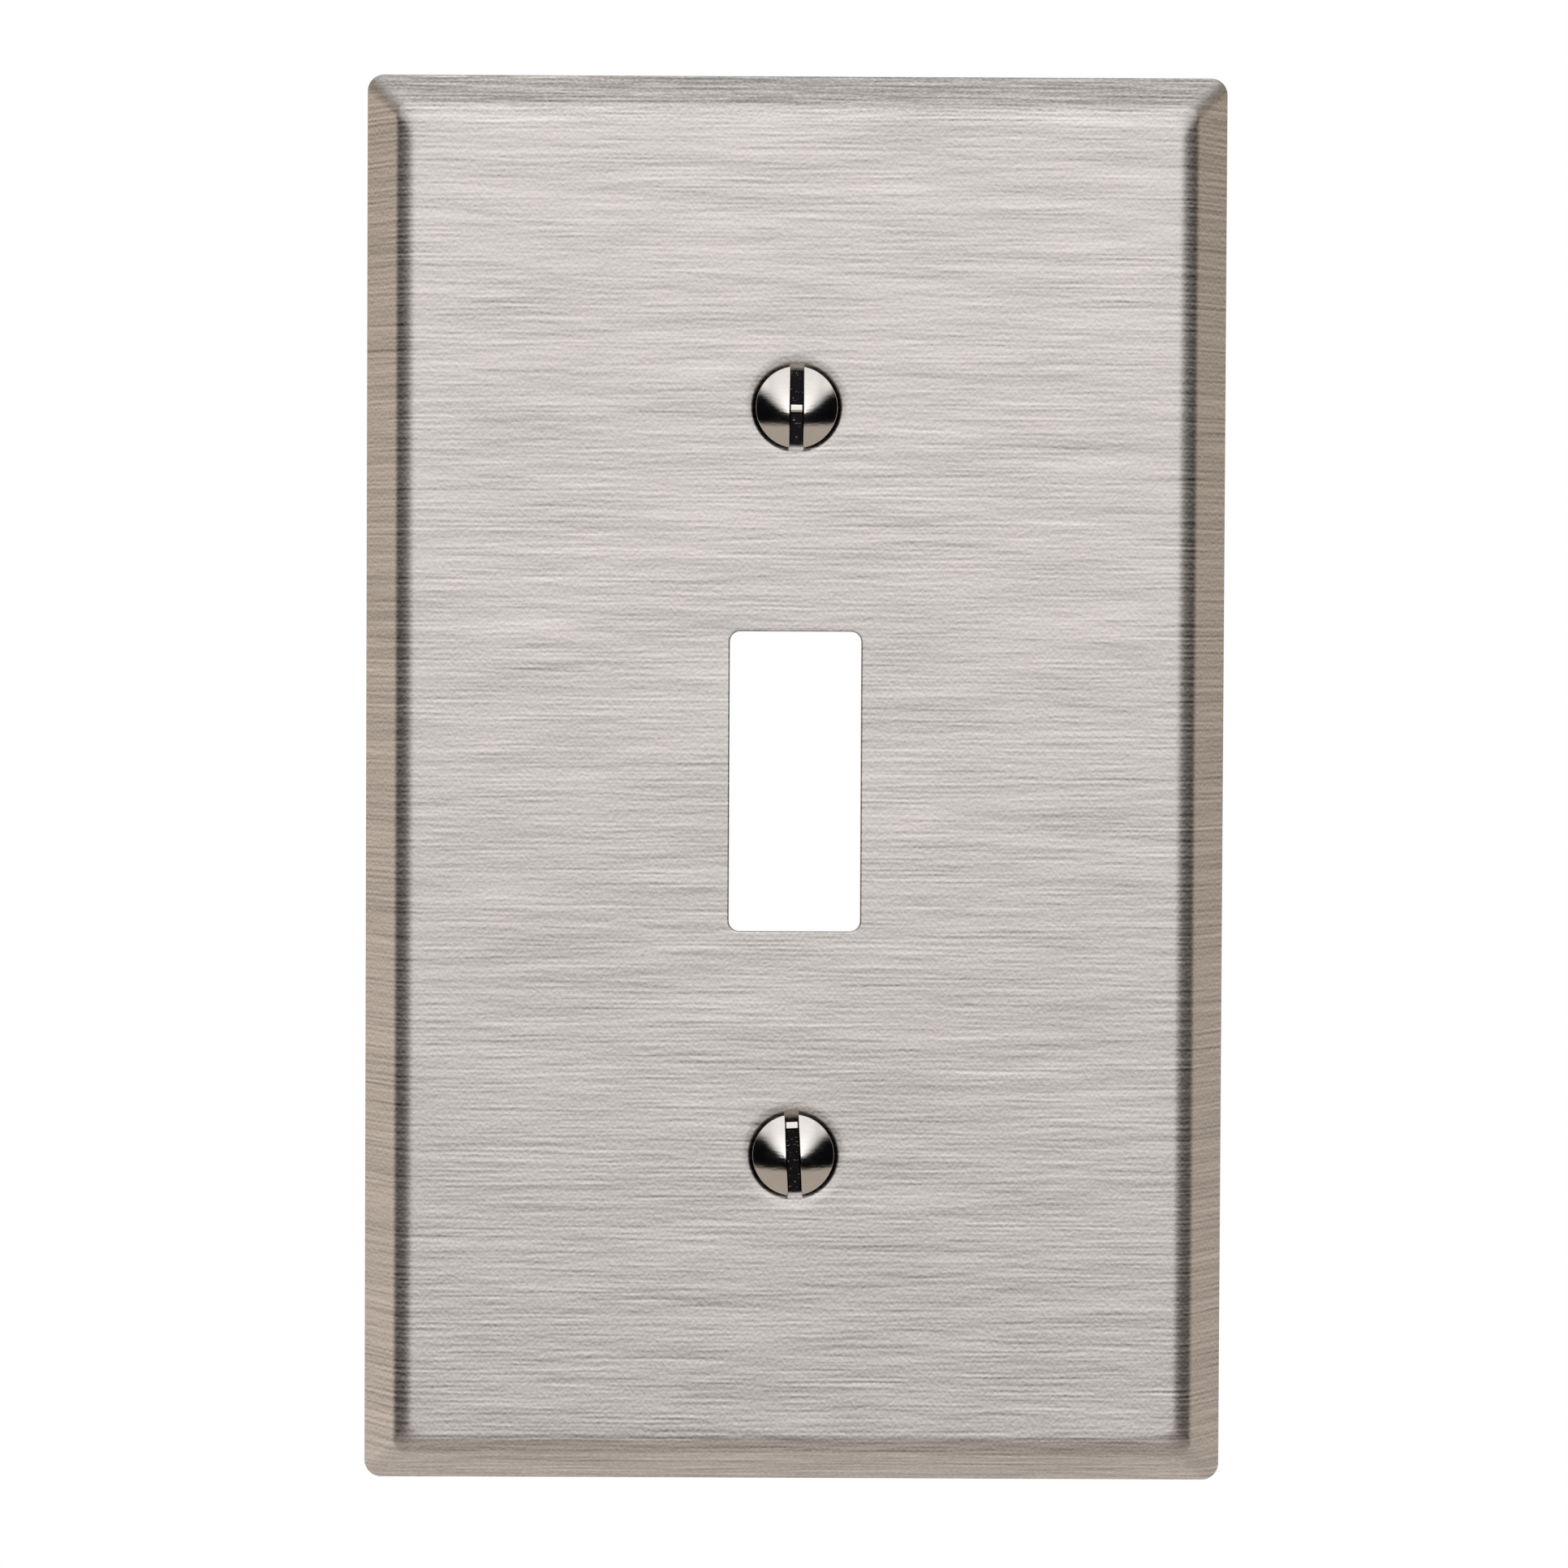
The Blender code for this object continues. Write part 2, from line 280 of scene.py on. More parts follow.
def add_dimple(bm, centre_z):
    """A pressed dish, flare and seat round a pierced hole. The seat runs along the head's cone,
    a small gap away, and the flare ends where it meets the seat."""
    half_angle = HEAD_ANGLE / 2
    cone_radius = HEAD_RADIUS + HEAD_LAND * CONE_SLOPE + SEAT_GAP / math.cos(half_angle)
    flare_depth = (DISH_RADIUS - FLARE_RADIUS) * math.tan(DISH_ANGLE)
    flare_slope = math.tan(FLARE_ANGLE)
    flare_top = flare_depth + (FLARE_RADIUS - cone_radius) * flare_slope
    seat_depth = flare_top / (1 - CONE_SLOPE * flare_slope)
    seat_radius = cone_radius - seat_depth * CONE_SLOPE
    hole_depth = (cone_radius - DIMPLE_HOLE) / CONE_SLOPE
    across = Vector((math.cos(half_angle), math.sin(half_angle))) * SHEET
    back_depth = hole_depth + across.y
    back_mouth = DIMPLE_HOLE + across.x + (back_depth - SHEET) * CONE_SLOPE
    face_radius = DISH_RADIUS + DISH_ROUNDING * DISH_ANGLE
    path = rounded_path(
        (
            (face_radius, 0.0),
            (DISH_RADIUS, 0.0),
            (FLARE_RADIUS, flare_depth),
            (seat_radius, seat_depth),
            (DIMPLE_HOLE, hole_depth),
            (DIMPLE_HOLE + across.x, back_depth),
            (back_mouth, SHEET),
            (back_mouth + SHEET, SHEET),
        ),
        (
            (DISH_ROUNDING, DISH_STEPS),
            (FLARE_ROUNDING, LIP_STEPS),
            (FLARE_ROUNDING, LIP_STEPS),
            (CUT_ROUNDING, EDGE_STEPS),
            (CUT_ROUNDING, EDGE_STEPS),
            (SHEET, LIP_STEPS),
        ),
    )
    rings = [circle_ring(bm, radius, PLATE_DEPTH - depth, centre_z) for radius, depth in path]
    cut_start = 1 + (DISH_STEPS + 1) + 2 * (LIP_STEPS + 1)
    cut_end = cut_start + 2 * EDGE_STEPS + 1
    for index, (ring_a, ring_b) in enumerate(zip(rings, rings[1:])):
        material = FRONT if index < cut_start else CUT if index < cut_end else BACK
        bridge(bm, ring_a, ring_b, material)
    return rings[0], rings[-1]


def fill_skin(bm, rings, material):
    """Fill a flat skin with triangles between its outline, the first ring, and the openings in
    it. The openings are convex, so a triangle between three points of one lies inside it."""
    verts = [vert for ring in rings for vert in ring]
    owners = [number for number, ring in enumerate(rings) for _ in ring]
    edges = []
    start = 0
    for ring in rings:
        count = len(ring)
        edges += [(start + i, start + (i + 1) % count) for i in range(count)]
        start += count
    flat = [Vector((vert.co.x, vert.co.z)) / MM for vert in verts]
    triangles = delaunay_2d_cdt(flat, edges, [], FILL_TRIANGLES, FILL_TOLERANCE)[2]
    for triangle in triangles:
        first, second, third = (owners[corner] for corner in triangle)
        if first == 0 or not first == second == third:
            face = bm.faces.new([verts[corner] for corner in triangle])
            face.material_index = material


def make_plate(materials, screw_places):
    """The whole pressed sheet, in one closed mesh."""
    bm = bmesh.new()
    skins = [add_border(bm), add_opening(bm)]
    skins += [add_dimple(bm, centre.z) for centre in screw_places]
    fill_skin(bm, [front for front, _ in skins], FRONT)
    fill_skin(bm, [back for _, back in skins], BACK)
    return finish_mesh("brushed_plate", bm, materials, PLATE_SHARP_ANGLE)


# ---- screws, drawn with the head's edge at y = 0, the crown at -y and the shank at +y ----------

# The places of the materials in a screw's list: nickel, and the near-black painted shade on the
# slot and the head's side
NICKEL, PAINTED_SHADE = 0, 1


def crown_y(x, z):
    """The ball's surface, 0 at the sharp edge of the head and -CROWN_HEIGHT on the axis."""
    return BALL_RADIUS - CROWN_HEIGHT - math.sqrt(BALL_RADIUS**2 - x * x - z * z)


def floor_y(z, marks):
    """The slot's floor, with small struck ridges where marks says (place, height, length)."""
    y = SLOT_DEPTH - CROWN_HEIGHT
    for place, height, length in marks:
        along = (z - place) / length
        if 0.0 <= along <= 1.0:
            y -= height * (1.0 - along)
    return y


def half_ring(bm, side, radius, arc_y, wall, wall_y):
    """A closed ring round one half of the head: out along its arc, and back along the slot."""
    reach = math.acos(wall / radius)
    angles = [reach * (2 * step / ARC_STEPS - 1) for step in range(ARC_STEPS + 1)]
    places = [(side * radius * math.cos(a), arc_y, radius * math.sin(a)) for a in angles]
    for angle in reversed(angles[1:-1]):
        z = radius * math.sin(angle)
        places.append((side * wall, wall_y(z), z))
    return [bm.verts.new(place) for place in places]


def rim_fillet():
    """(radius, y) round the rim, from the crown to the land."""
    centre_radius = HEAD_RADIUS - RIM_FILLET
    ball = BALL_RADIUS - RIM_FILLET
    centre_y = BALL_RADIUS - CROWN_HEIGHT - math.sqrt(ball**2 - centre_radius**2)
    start = math.acos(centre_radius / ball)
    points = []
    for step in range(FILLET_STEPS + 1):
        angle = start * (1 - step / FILLET_STEPS)
        points.append(
            (
                centre_radius + RIM_FILLET * math.cos(angle),
                centre_y - RIM_FILLET * math.sin(angle),
            )
        )
    return points


def half_head(bm, side, marks):
    """One half of the head, from its crown down to the slot's floor. Returns its last ring."""
    half_slot = SLOT_WIDTH / 2
    floor = SLOT_DEPTH - CROWN_HEIGHT
    rings = []
    for step, (radius, y) in enumerate(rim_fillet()):
        turn = math.pi / 2 * step / FILLET_STEPS
        wall = half_slot + SLOT_FILLET * (1 - math.sin(turn))
        drop = SLOT_FILLET * (1 - math.cos(turn))
        edge = half_slot + SLOT_FILLET
        wall_y = lambda z, edge=edge, drop=drop: crown_y(edge, z) + drop
        rings.append(half_ring(bm, side, radius, y, wall, wall_y))
    rings.append(half_ring(bm, side, HEAD_RADIUS, HEAD_LAND, half_slot, lambda z: HEAD_LAND))
    for step in range(EDGE_STEPS + 1):
        turn = math.pi / 2 * step / EDGE_STEPS
        wall = half_slot - SLOT_FLOOR_FILLET * (1 - math.cos(turn))
        rise = SLOT_FLOOR_FILLET * (1 - math.sin(turn))
        y = floor - rise
        radius = HEAD_RADIUS - (y - HEAD_LAND) * CONE_SLOPE
        wall_y = lambda z, rise=rise: floor_y(z, marks) - rise
        rings.append(half_ring(bm, side, radius, y, wall, wall_y))
    # The rim fillet is nickel. The land, the cone below it and the slot's walls take the painted
    # shade, which darkens the ring round the head
    for index, (ring_a, ring_b) in enumerate(zip(rings, rings[1:])):
        bridge(bm, ring_a, ring_b, PAINTED_SHADE if index >= FILLET_STEPS else NICKEL)
    add_crown(bm, rings[0])
    return rings[-1]


def add_crown(bm, ring):
    """The curved top of one half, in rows across from the slot to the rim."""
    rows = []
    for step in range(1, ARC_STEPS):
        outer = ring[step]
        inner = ring[2 * ARC_STEPS - step]
        row = [inner]
        for column in range(1, CROWN_COLUMNS):
            x, _, z = inner.co.lerp(outer.co, column / CROWN_COLUMNS)
            row.append(bm.verts.new((x, crown_y(x, z), z)))
        rows.append(row + [outer])
    for row_a, row_b in zip(rows, rows[1:]):
        for column in range(CROWN_COLUMNS):
            bm.faces.new((row_a[column], row_a[column + 1], row_b[column + 1], row_b[column]))
    for corner, row in ((ring[0], rows[0]), (ring[ARC_STEPS], rows[-1])):
        for column in range(CROWN_COLUMNS):
            bm.faces.new((corner, row[column], row[column + 1]))


def slot_floor(bm, right, left, marks):
    """The floor between the two halves, in painted shade except where it is struck, which stays
    bright nickel. Returns the whole ring round the cone at its depth."""
    radius = math.hypot(right[0].co.x, right[0].co.z)
    y = right[0].co.y
    ends = []
    for first, last in ((right[ARC_STEPS], left[ARC_STEPS]), (left[0], right[0])):
        start = math.atan2(first.co.z, first.co.x)
        stop = math.atan2(last.co.z, last.co.x)
        sweep = (stop - start) % (2 * math.pi)
        angles = [start + sweep * step / SLOT_END_STEPS for step in range(1, SLOT_END_STEPS)]
        end = [bm.verts.new((radius * math.cos(a), y, radius * math.sin(a))) for a in angles]
        bm.faces.new((first, *end, last)).material_index = PAINTED_SHADE
        ends.append(end)
    right_wall = [right[0], *reversed(right[ARC_STEPS + 1 :]), right[ARC_STEPS]]
    left_wall = [left[0], *reversed(left[ARC_STEPS + 1 :]), left[ARC_STEPS]]
    for step in range(ARC_STEPS):
        corners = (right_wall[step], right_wall[step + 1], left_wall[step + 1], left_wall[step])
        middle_z = sum(corner.co.z for corner in corners) / 4
        struck = any(0.0 < middle_z - place < length for place, _, length in marks)
        bm.faces.new(corners).material_index = NICKEL if struck else PAINTED_SHADE
    middle = ARC_STEPS // 2
    top, bottom = ends
    left_arc = list(reversed(left[: ARC_STEPS + 1]))
    return right[middle : ARC_STEPS + 1] + top + left_arc + bottom + right[:middle]


def turned_ring(bm, radius, y):
    """A circle round the screw's axis."""
    ring = []
    for i in range(SCREW_FACETS):
        angle = 2 * math.pi * i / SCREW_FACETS
        ring.append(bm.verts.new((radius * math.cos(angle), y, radius * math.sin(angle))))
    return ring


def thread_profile():
    """(share of the pitch, share of the thread's depth) across one thread, root to root."""
    root, crest = 0.25, 0.125
    flank = (1 - root - crest) / 2
    # Root and crest run softly into the flanks, from soft before each corner to soft after it.
    soft = 0.03
    low, high = 0.06, 0.92
    return (
        (0.0, 0.0),
        (root - soft, 0.0),
        (root + soft, low),
        (root + flank - soft, high),
        (root + flank + soft, 1.0),
        (root + flank + crest - soft, 1.0),
        (root + flank + crest + soft, high),
        (1 - soft, low),
    )


def add_thread(bm, neck, start_y, total_turns):
    """A helical thread from the neck's ring on. Returns the columns of its open end."""
    profile = thread_profile()
    count = SCREW_FACETS
    columns = []
    for k in range((total_turns + 1) * count + 1):
        turns = k / count
        angle = 2 * math.pi * turns
        fade = max(0.0, min(1.0, min(turns, total_turns - turns) / THREAD_FADE_TURNS))
        column = []
        for along, height in profile if k <= total_turns * count else profile[:1]:
            radius = ROOT_RADIUS + THREAD_DEPTH * height * fade
            y = start_y + THREAD_PITCH * (turns + along)
            column.append(bm.verts.new((radius * math.cos(angle), y, radius * math.sin(angle))))
        columns.append(column)
    for k in range(total_turns * count):
        left = columns[k] + [columns[k + count][0]]
        right = columns[k + 1] + [columns[k + 1 + count][0]]
        for row in range(len(left) - 1):
            bm.faces.new((left[row], right[row], right[row + 1], left[row + 1]))
    for j in range(count - 1):
        bm.faces.new((neck[j], neck[j + 1], columns[j + 1][0], columns[j][0]))
    bm.faces.new((neck[-1], neck[0], *columns[0], columns[count][0], columns[count - 1][0]))
    return columns[total_turns * count :]


def close_thread(bm, end_columns, end_ring):
    """Join the thread's open end to the plain ring behind it."""
    count = SCREW_FACETS
    for j in range(1, count):
        following = end_ring[(j + 1) % count]
        bm.faces.new((end_columns[j][0], end_columns[j + 1][0], following, end_ring[j]))
    root, *profile = end_columns[0]
    after, last = end_columns[1][0], end_columns[count][0]
    bm.faces.new((root, after, end_ring[1], end_ring[0], last, *reversed(profile)))


def add_shank(bm, cone_ring):
    """The rest of the cone, the rolled thread and the chamfered end."""
    neck_y = HEAD_LAND + (HEAD_RADIUS - ROOT_RADIUS) / CONE_SLOPE
    neck = turned_ring(bm, ROOT_RADIUS, neck_y)
    bridge(bm, cone_ring, neck)
    shank = SCREW_LENGTH - END_CHAMFER - neck_y
    total_turns = int(shank / THREAD_PITCH - PLAIN_END_TURNS) - 1
    spare = shank - (total_turns + 1) * THREAD_PITCH
    end_columns = add_thread(bm, neck, neck_y + spare / 2, total_turns)
    shoulder = turned_ring(bm, ROOT_RADIUS, SCREW_LENGTH - END_CHAMFER)
    close_thread(bm, end_columns, shoulder)
    tip = turned_ring(bm, ROOT_RADIUS - END_CHAMFER, SCREW_LENGTH)
    bridge(bm, shoulder, tip)
    bm.faces.new(tip)


def make_screw(name, centre, slot_turn, marks, materials):
    """A whole screw in its place, with its slot turned from upright by slot_turn."""
    bm = bmesh.new()
    right = half_head(bm, 1, marks)
    left = half_head(bm, -1, marks)
    add_shank(bm, slot_floor(bm, right, left, marks))
    place = Matrix.Translation((centre.x, -PLATE_DEPTH, centre.z))
    bmesh.ops.transform(bm, matrix=place @ Matrix.Rotation(-slot_turn, 4, "Y"), verts=bm.verts)
    return finish_mesh(name, bm, materials, SCREW_SHARP_ANGLE)


# ---- materials -------------------------------------------------------------------------------


def add_node(tree, kind, inputs=None, **settings):
    """A new node. Each input is a value, or the socket that feeds it."""
    node = tree.nodes.new(kind)
    for name, value in settings.items():
        setattr(node, name, value)
    for name, value in (inputs or {}).items():
        if isinstance(value, bpy.types.NodeSocket):
            tree.links.new(value, node.inputs[name])
        else:
            node.inputs[name].default_value = value
    return node


def math_node(tree, operation, a, b=0.0, c=0.0):
    return add_node(tree, "ShaderNodeMath", {0: a, 1: b, 2: c}, operation=operation).outputs[0]


def map_range(tree, value, start, end):
    """A smooth step from end[0] to end[1] as value goes from start[0] to start[1]."""
    inputs = {"Value": value}
    inputs["From Min"], inputs["From Max"] = start
    inputs["To Min"], inputs["To Max"] = end
    step = add_node(tree, "ShaderNodeMapRange", inputs, interpolation_type="SMOOTHSTEP")
    return step.outputs[0]


def mix_colour(tree, factor, a, b):
    mix = add_node(tree, "ShaderNodeMix", {"Factor": factor}, data_type="RGBA")
    for socket, value in ((mix.inputs[6], a), (mix.inputs[7], b)):
        if isinstance(value, bpy.types.NodeSocket):
            tree.links.new(value, socket)
        else:
            socket.default_value = (*value, 1.0)
    return mix.outputs[2]


def new_metal(name, colour, roughness, anisotropy=0.0):
    """A metal with constant values on its own sockets. Returns (material, tree, shader)."""
    material = bpy.data.materials.new(name)
    material.use_nodes = True
    material.diffuse_color = (*colour, 1.0)
    tree = material.node_tree
    shader = tree.nodes["Principled BSDF"]
    shader.inputs["Base Color"].default_value = (*colour, 1.0)
    shader.inputs["Metallic"].default_value = 1.0
    shader.inputs["Roughness"].default_value = roughness
    shader.inputs["Anisotropic"].default_value = anisotropy
    return material, tree, shader


def noise(tree, size, place=(0.0, 0.0, 0.0), detail=0.0):
    """Noise round 0 whose grains have the given size along x, y and z, in metres. place moves
    it by that many grains."""
    coords = add_node(tree, "ShaderNodeTexCoord").outputs["Object"]
    scale = [1.0 / s for s in size]
    inputs = {"Vector": coords, "Scale": scale, "Location": place}
    mapped = add_node(tree, "ShaderNodeMapping", inputs).outputs[0]
    inputs = {"Vector": mapped, "Scale": 1.0, "Detail": detail}
    grain = add_node(tree, "ShaderNodeTexNoise", inputs).outputs["Fac"]
    return math_node(tree, "SUBTRACT", grain, 0.5)


def weighted_sum(tree, layers):
    """The sum of (socket, weight) pairs."""
    total = 0.0
    for socket, weight in layers:
        total = math_node(tree, "MULTIPLY_ADD", socket, weight, total)
    return total


def tinted(tree, colour, variation):
    """The colour made lighter and darker by a variation round 0."""
    gain = math_node(tree, "ADD", variation, 1.0)
    scaled = add_node(
        tree, "ShaderNodeVectorMath", {0: colour, "Scale": gain}, operation="SCALE"
    )
    return scaled.outputs[0]


def shade_colour(tree, shader, colour, variation):
    tree.links.new(tinted(tree, colour, variation), shader.inputs["Base Color"])


def shade_roughness(tree, shader, roughness, variation):
    rough = math_node(tree, "ADD", variation, roughness)
    tree.links.new(rough, shader.inputs["Roughness"])


def shade_relief(tree, shader, height, depth):
    """Fine relief. depth is what a height of 1 stands for, in metres."""
    inputs = {"Height": height, "Strength": 1.0, "Distance": depth}
    bump = add_node(tree, "ShaderNodeBump", inputs)
    tree.links.new(bump.outputs[0], shader.inputs["Normal"])


# Grains of the brushed finish as (size along x, y and z, share): long lines, shorter ones, and the
# fine tooth between them. Their colour is partly the lines' own random tone and partly painted
# shade: each line has a painted shaded side, BRUSH_RELIEF above or below it, as a groove's shade,
# whose share is smaller. The lines run straight on over the side borders, so they hardly change
# along y.
BRUSH_LINES = (
    ((14.0 * MM, 60.0 * MM, 0.21 * MM), 0.40),
    ((4.2 * MM, 40.0 * MM, 0.19 * MM), 0.50),
    ((0.26 * MM, 0.6 * MM, 0.15 * MM), 0.42),
)
BRUSH_RELIEF = 0.22 * MM
BRUSH_SHADE_SHARE = 0.6
BRUSH_BROAD = (15.0 * MM, 40.0 * MM, 1.0 * MM)
BRUSH_APART = 7.3
BRUSH_TONE = 1.24
BRUSH_BROAD_TONE = 0.5
BRUSH_DULLNESS = 0.25


def brushed_stainless():
    """Sheet brushed along x: light lines, each with a painted shaded side, that run on over the
    side borders.
    """
    colour = (0.63, 0.596, 0.57)
    roughness = 0.364
    material, tree, shader = new_metal("brushed_stainless", colour, roughness, 0.8)
    lines = []
    for number, (size, share) in enumerate(BRUSH_LINES):
        apart = BRUSH_APART * number
        light = noise(tree, size, place=(apart, 0.0, 0.0))
        # The shifted copy is painted shade: the shaded side of each line's groove
        dark = noise(tree, size, place=(apart, 0.0, BRUSH_RELIEF / size[2]))
        lines += [(light, share), (dark, -share * BRUSH_SHADE_SHARE)]
    broad = noise(tree, BRUSH_BROAD, place=(2.9, 0.0, 0.0), detail=1.0)
    brush = weighted_sum(tree, lines)
    tone = weighted_sum(tree, ((brush, BRUSH_TONE), (broad, BRUSH_BROAD_TONE)))
    shade_colour(tree, shader, colour, tone)
    dullness = math_node(tree, "MULTIPLY", brush, BRUSH_DULLNESS)
    shade_roughness(tree, shader, roughness, dullness)
    light_sides = lines[::2]
    shade_relief(tree, shader, weighted_sum(tree, light_sides), 0.008 * MM)
    upright = add_node(tree, "ShaderNodeCombineXYZ", {"Z": 1.0})
    tree.links.new(upright.outputs[0], shader.inputs["Tangent"])
    return material


def mill_stainless():
    """The back of the sheet, as it left the mill: smooth, dull and faintly clouded."""
    colour = (0.56, 0.55, 0.535)
    roughness = 0.38
    material, tree, shader = new_metal("mill_stainless", colour, roughness)
    cloud = noise(tree, (9 * MM, 9 * MM, 6 * MM), detail=3.0)
    grain = noise(tree, (0.5 * MM, 0.5 * MM, 0.15 * MM), place=(3.1, 0.0, 0.0), detail=2.0)
    shade_colour(tree, shader, colour, weighted_sum(tree, ((cloud, 0.25), (grain, 0.18))))
    shade_roughness(tree, shader, roughness, math_node(tree, "MULTIPLY", cloud, 0.2))
    shade_relief(tree, shader, grain, 0.004 * MM)
    return material


def sheared_stainless():
    """The cut edges: a bright sheared band with fine lines across the sheet."""
    colour = (0.40, 0.388, 0.372)
    material, tree, shader = new_metal("sheared_stainless", colour, 0.36)
    tears = noise(tree, (0.12 * MM, 0.6 * MM, 0.12 * MM), detail=2.0)
    shade_colour(tree, shader, colour, math_node(tree, "MULTIPLY", tears, 0.6))
    shade_relief(tree, shader, tears, 0.012 * MM)
    return material


def nickel_plate():
    """Bright nickel over steel, with the small marks of tumbling."""
    colour = (0.72, 0.685, 0.645)
    roughness = 0.115
    material, tree, shader = new_metal("nickel_plate", colour, roughness)
    haze = noise(tree, (1.2 * MM, 1.2 * MM, 1.2 * MM), detail=3.0)
    marks = noise(tree, (0.9 * MM, 0.3 * MM, 0.16 * MM), place=(5.0, 0.0, 0.0), detail=2.0)
    fine = noise(tree, (0.12 * MM, 0.12 * MM, 0.12 * MM), place=(9.0, 0.0, 0.0), detail=1.0)
    shade_colour(tree, shader, colour, weighted_sum(tree, ((haze, 0.12), (marks, 0.12))))
    dullness = weighted_sum(tree, ((haze, 0.09), (marks, 0.09)))
    shade_roughness(tree, shader, roughness, dullness)
    height = weighted_sum(tree, ((marks, 0.7), (fine, 0.3)))
    shade_relief(tree, shader, height, 0.006 * MM)
    return material


def painted_shade_metal():
    """Painted shade for the slot and for the head's land and cone under its rim: near black over
    tool marks, with specks of bare metal.
    """
    # Near black: painted shade of the slot's recess and of the gap round the head
    colour = (0.012, 0.011, 0.012)
    bare = (0.55, 0.5, 0.46)
    material, tree, shader = new_metal("painted_shade_metal", colour, 0.4)
    tool = noise(tree, (0.22 * MM, 0.2 * MM, 0.1 * MM), detail=2.0)
    speck = map_range(tree, tool, (0.16, 0.26), (0.0, 1.0))
    tree.links.new(mix_colour(tree, speck, colour, bare), shader.inputs["Base Color"])
    shade_relief(tree, shader, tool, 0.02 * MM)
    return material


# ---- studio ----------------------------------------------------------------------------------

CAMERA_PLACE = Vector((-2.74, -491.07, 15.04)) * MM
CAMERA_YAW = math.radians(-0.219)
CAMERA_PITCH = math.radians(-1.796)
CAMERA_ROLL = math.radians(-0.264)
CAMERA_LENS = 138.33

# The panel slopes down towards the front, from over the plate to below the camera's height.
PANEL_FRONT = -1.8
PANEL_BACK = 0.2
PANEL_SLOPE = math.radians(21.3)
PANEL_RISE = 0.466
PANEL_HALF_WIDTH = 0.84
PANEL_SOFT_SHARE = 0.38
PANEL_FRONT_RADIANCE = 1.74
PANEL_BACK_RADIANCE = 1.03
PANEL_TURN = (0.25, 0.9)

# What the metal reflects around the panel
DARK_ROOM = (0.003, 0.003, 0.004)
SIDE_WALLS = (0.75, 0.69, 0.65)
WARM_FLOOR = (0.50, 0.444, 0.396)
BACK_WALL = (0.47, 0.395, 0.32)
BACK_WALL_LOW = (0.80, 0.73, 0.67)
BACK_WALL_HIGH = (0.335, 0.325, 0.318)
# Each zone begins and is full where a direction's share to the side, back or up is as follows.
# FLOOR_TILT lowers the floor's edge in front of the plate.
FLOOR_ZONE = (-0.25, -0.39)
FLOOR_TILT = -0.19
SIDE_ZONE = (0.6, 0.88)
SIDE_ZONE_UP = (0.25, 0.6)
BACK_ZONE = (0.0, 0.5)
BACK_LOW_ZONE = (0.15, -0.3)
BACK_HIGH_ZONE = (0.3, 0.8)
BACK_LEFT_TO_RIGHT = (-0.8, 0.8)
BACK_LEFT_TO_RIGHT_GAIN = (1.12, 0.88)

FLOOR_HEIGHT = -0.25
FLOOR_HALF_WIDTH = 2.0
FLOOR_FRONT = -3.0
FLOOR_BACK = 1.0


def add_camera():
    """A long lens, nearly straight on and a little above the plate's middle."""
    data = bpy.data.cameras.new("camera")
    data.lens = CAMERA_LENS
    data.clip_start = 0.01
    data.clip_end = 20.0
    camera = bpy.data.objects.new("camera", data)
    turn = (
        Matrix.Rotation(CAMERA_YAW, 4, "Z")
        @ Matrix.Rotation(CAMERA_PITCH, 4, "X")
        @ Matrix.Rotation(CAMERA_ROLL, 4, "Y")
        @ Matrix.Rotation(math.pi / 2, 4, "X")
    )
    camera.matrix_world = Matrix.Translation(CAMERA_PLACE) @ turn
    bpy.context.scene.collection.objects.link(camera)
    bpy.context.scene.camera = camera


def add_panel():
    """A long soft light, leaning over the plate from behind it to far past the camera, which
    doesn't see it. It fades towards its sides and is brighter at its front end."""
    data = bpy.data.lights.new("soft_panel", "AREA")
    data.shape = "RECTANGLE"
    data.size = 2 * PANEL_HALF_WIDTH
    data.size_y = (PANEL_BACK - PANEL_FRONT) / math.cos(PANEL_SLOPE)
    # At this power, an emission strength of 1 is a radiance of 1.
    data.energy = data.size * data.size_y * math.pi
    data.use_nodes = True
    tree = data.node_tree
    tree.nodes.clear()
    # Parametric runs from 0 to 1 across the light along its x, and along its y.
    place = add_node(tree, "ShaderNodeNewGeometry").outputs["Parametric"]
    across, along, _ = add_node(tree, "ShaderNodeSeparateXYZ", {0: place}).outputs
    from_middle = math_node(tree, "ABSOLUTE", math_node(tree, "SUBTRACT", across, 0.5))
    from_side = math_node(tree, "SUBTRACT", 0.5, from_middle)
    side = map_range(tree, from_side, (0.0, PANEL_SOFT_SHARE), (0.0, 1.0))
    ends = (PANEL_FRONT_RADIANCE, PANEL_BACK_RADIANCE)
    strength = map_range(tree, along, PANEL_TURN, ends)
    strength = math_node(tree, "MULTIPLY", strength, side)
    emission = add_node(tree, "ShaderNodeEmission", {"Strength": strength}).outputs[0]
    add_node(tree, "ShaderNodeOutputLight", {"Surface": emission})
    light = bpy.data.objects.new("soft_panel", data)
    middle = (PANEL_BACK + PANEL_FRONT) / 2
    light.location = (0.0, middle, PANEL_RISE + middle * math.tan(PANEL_SLOPE))
    light.rotation_euler = (PANEL_SLOPE, 0.0, 0.0)
    light.visible_camera = False
    bpy.context.scene.collection.objects.link(light)


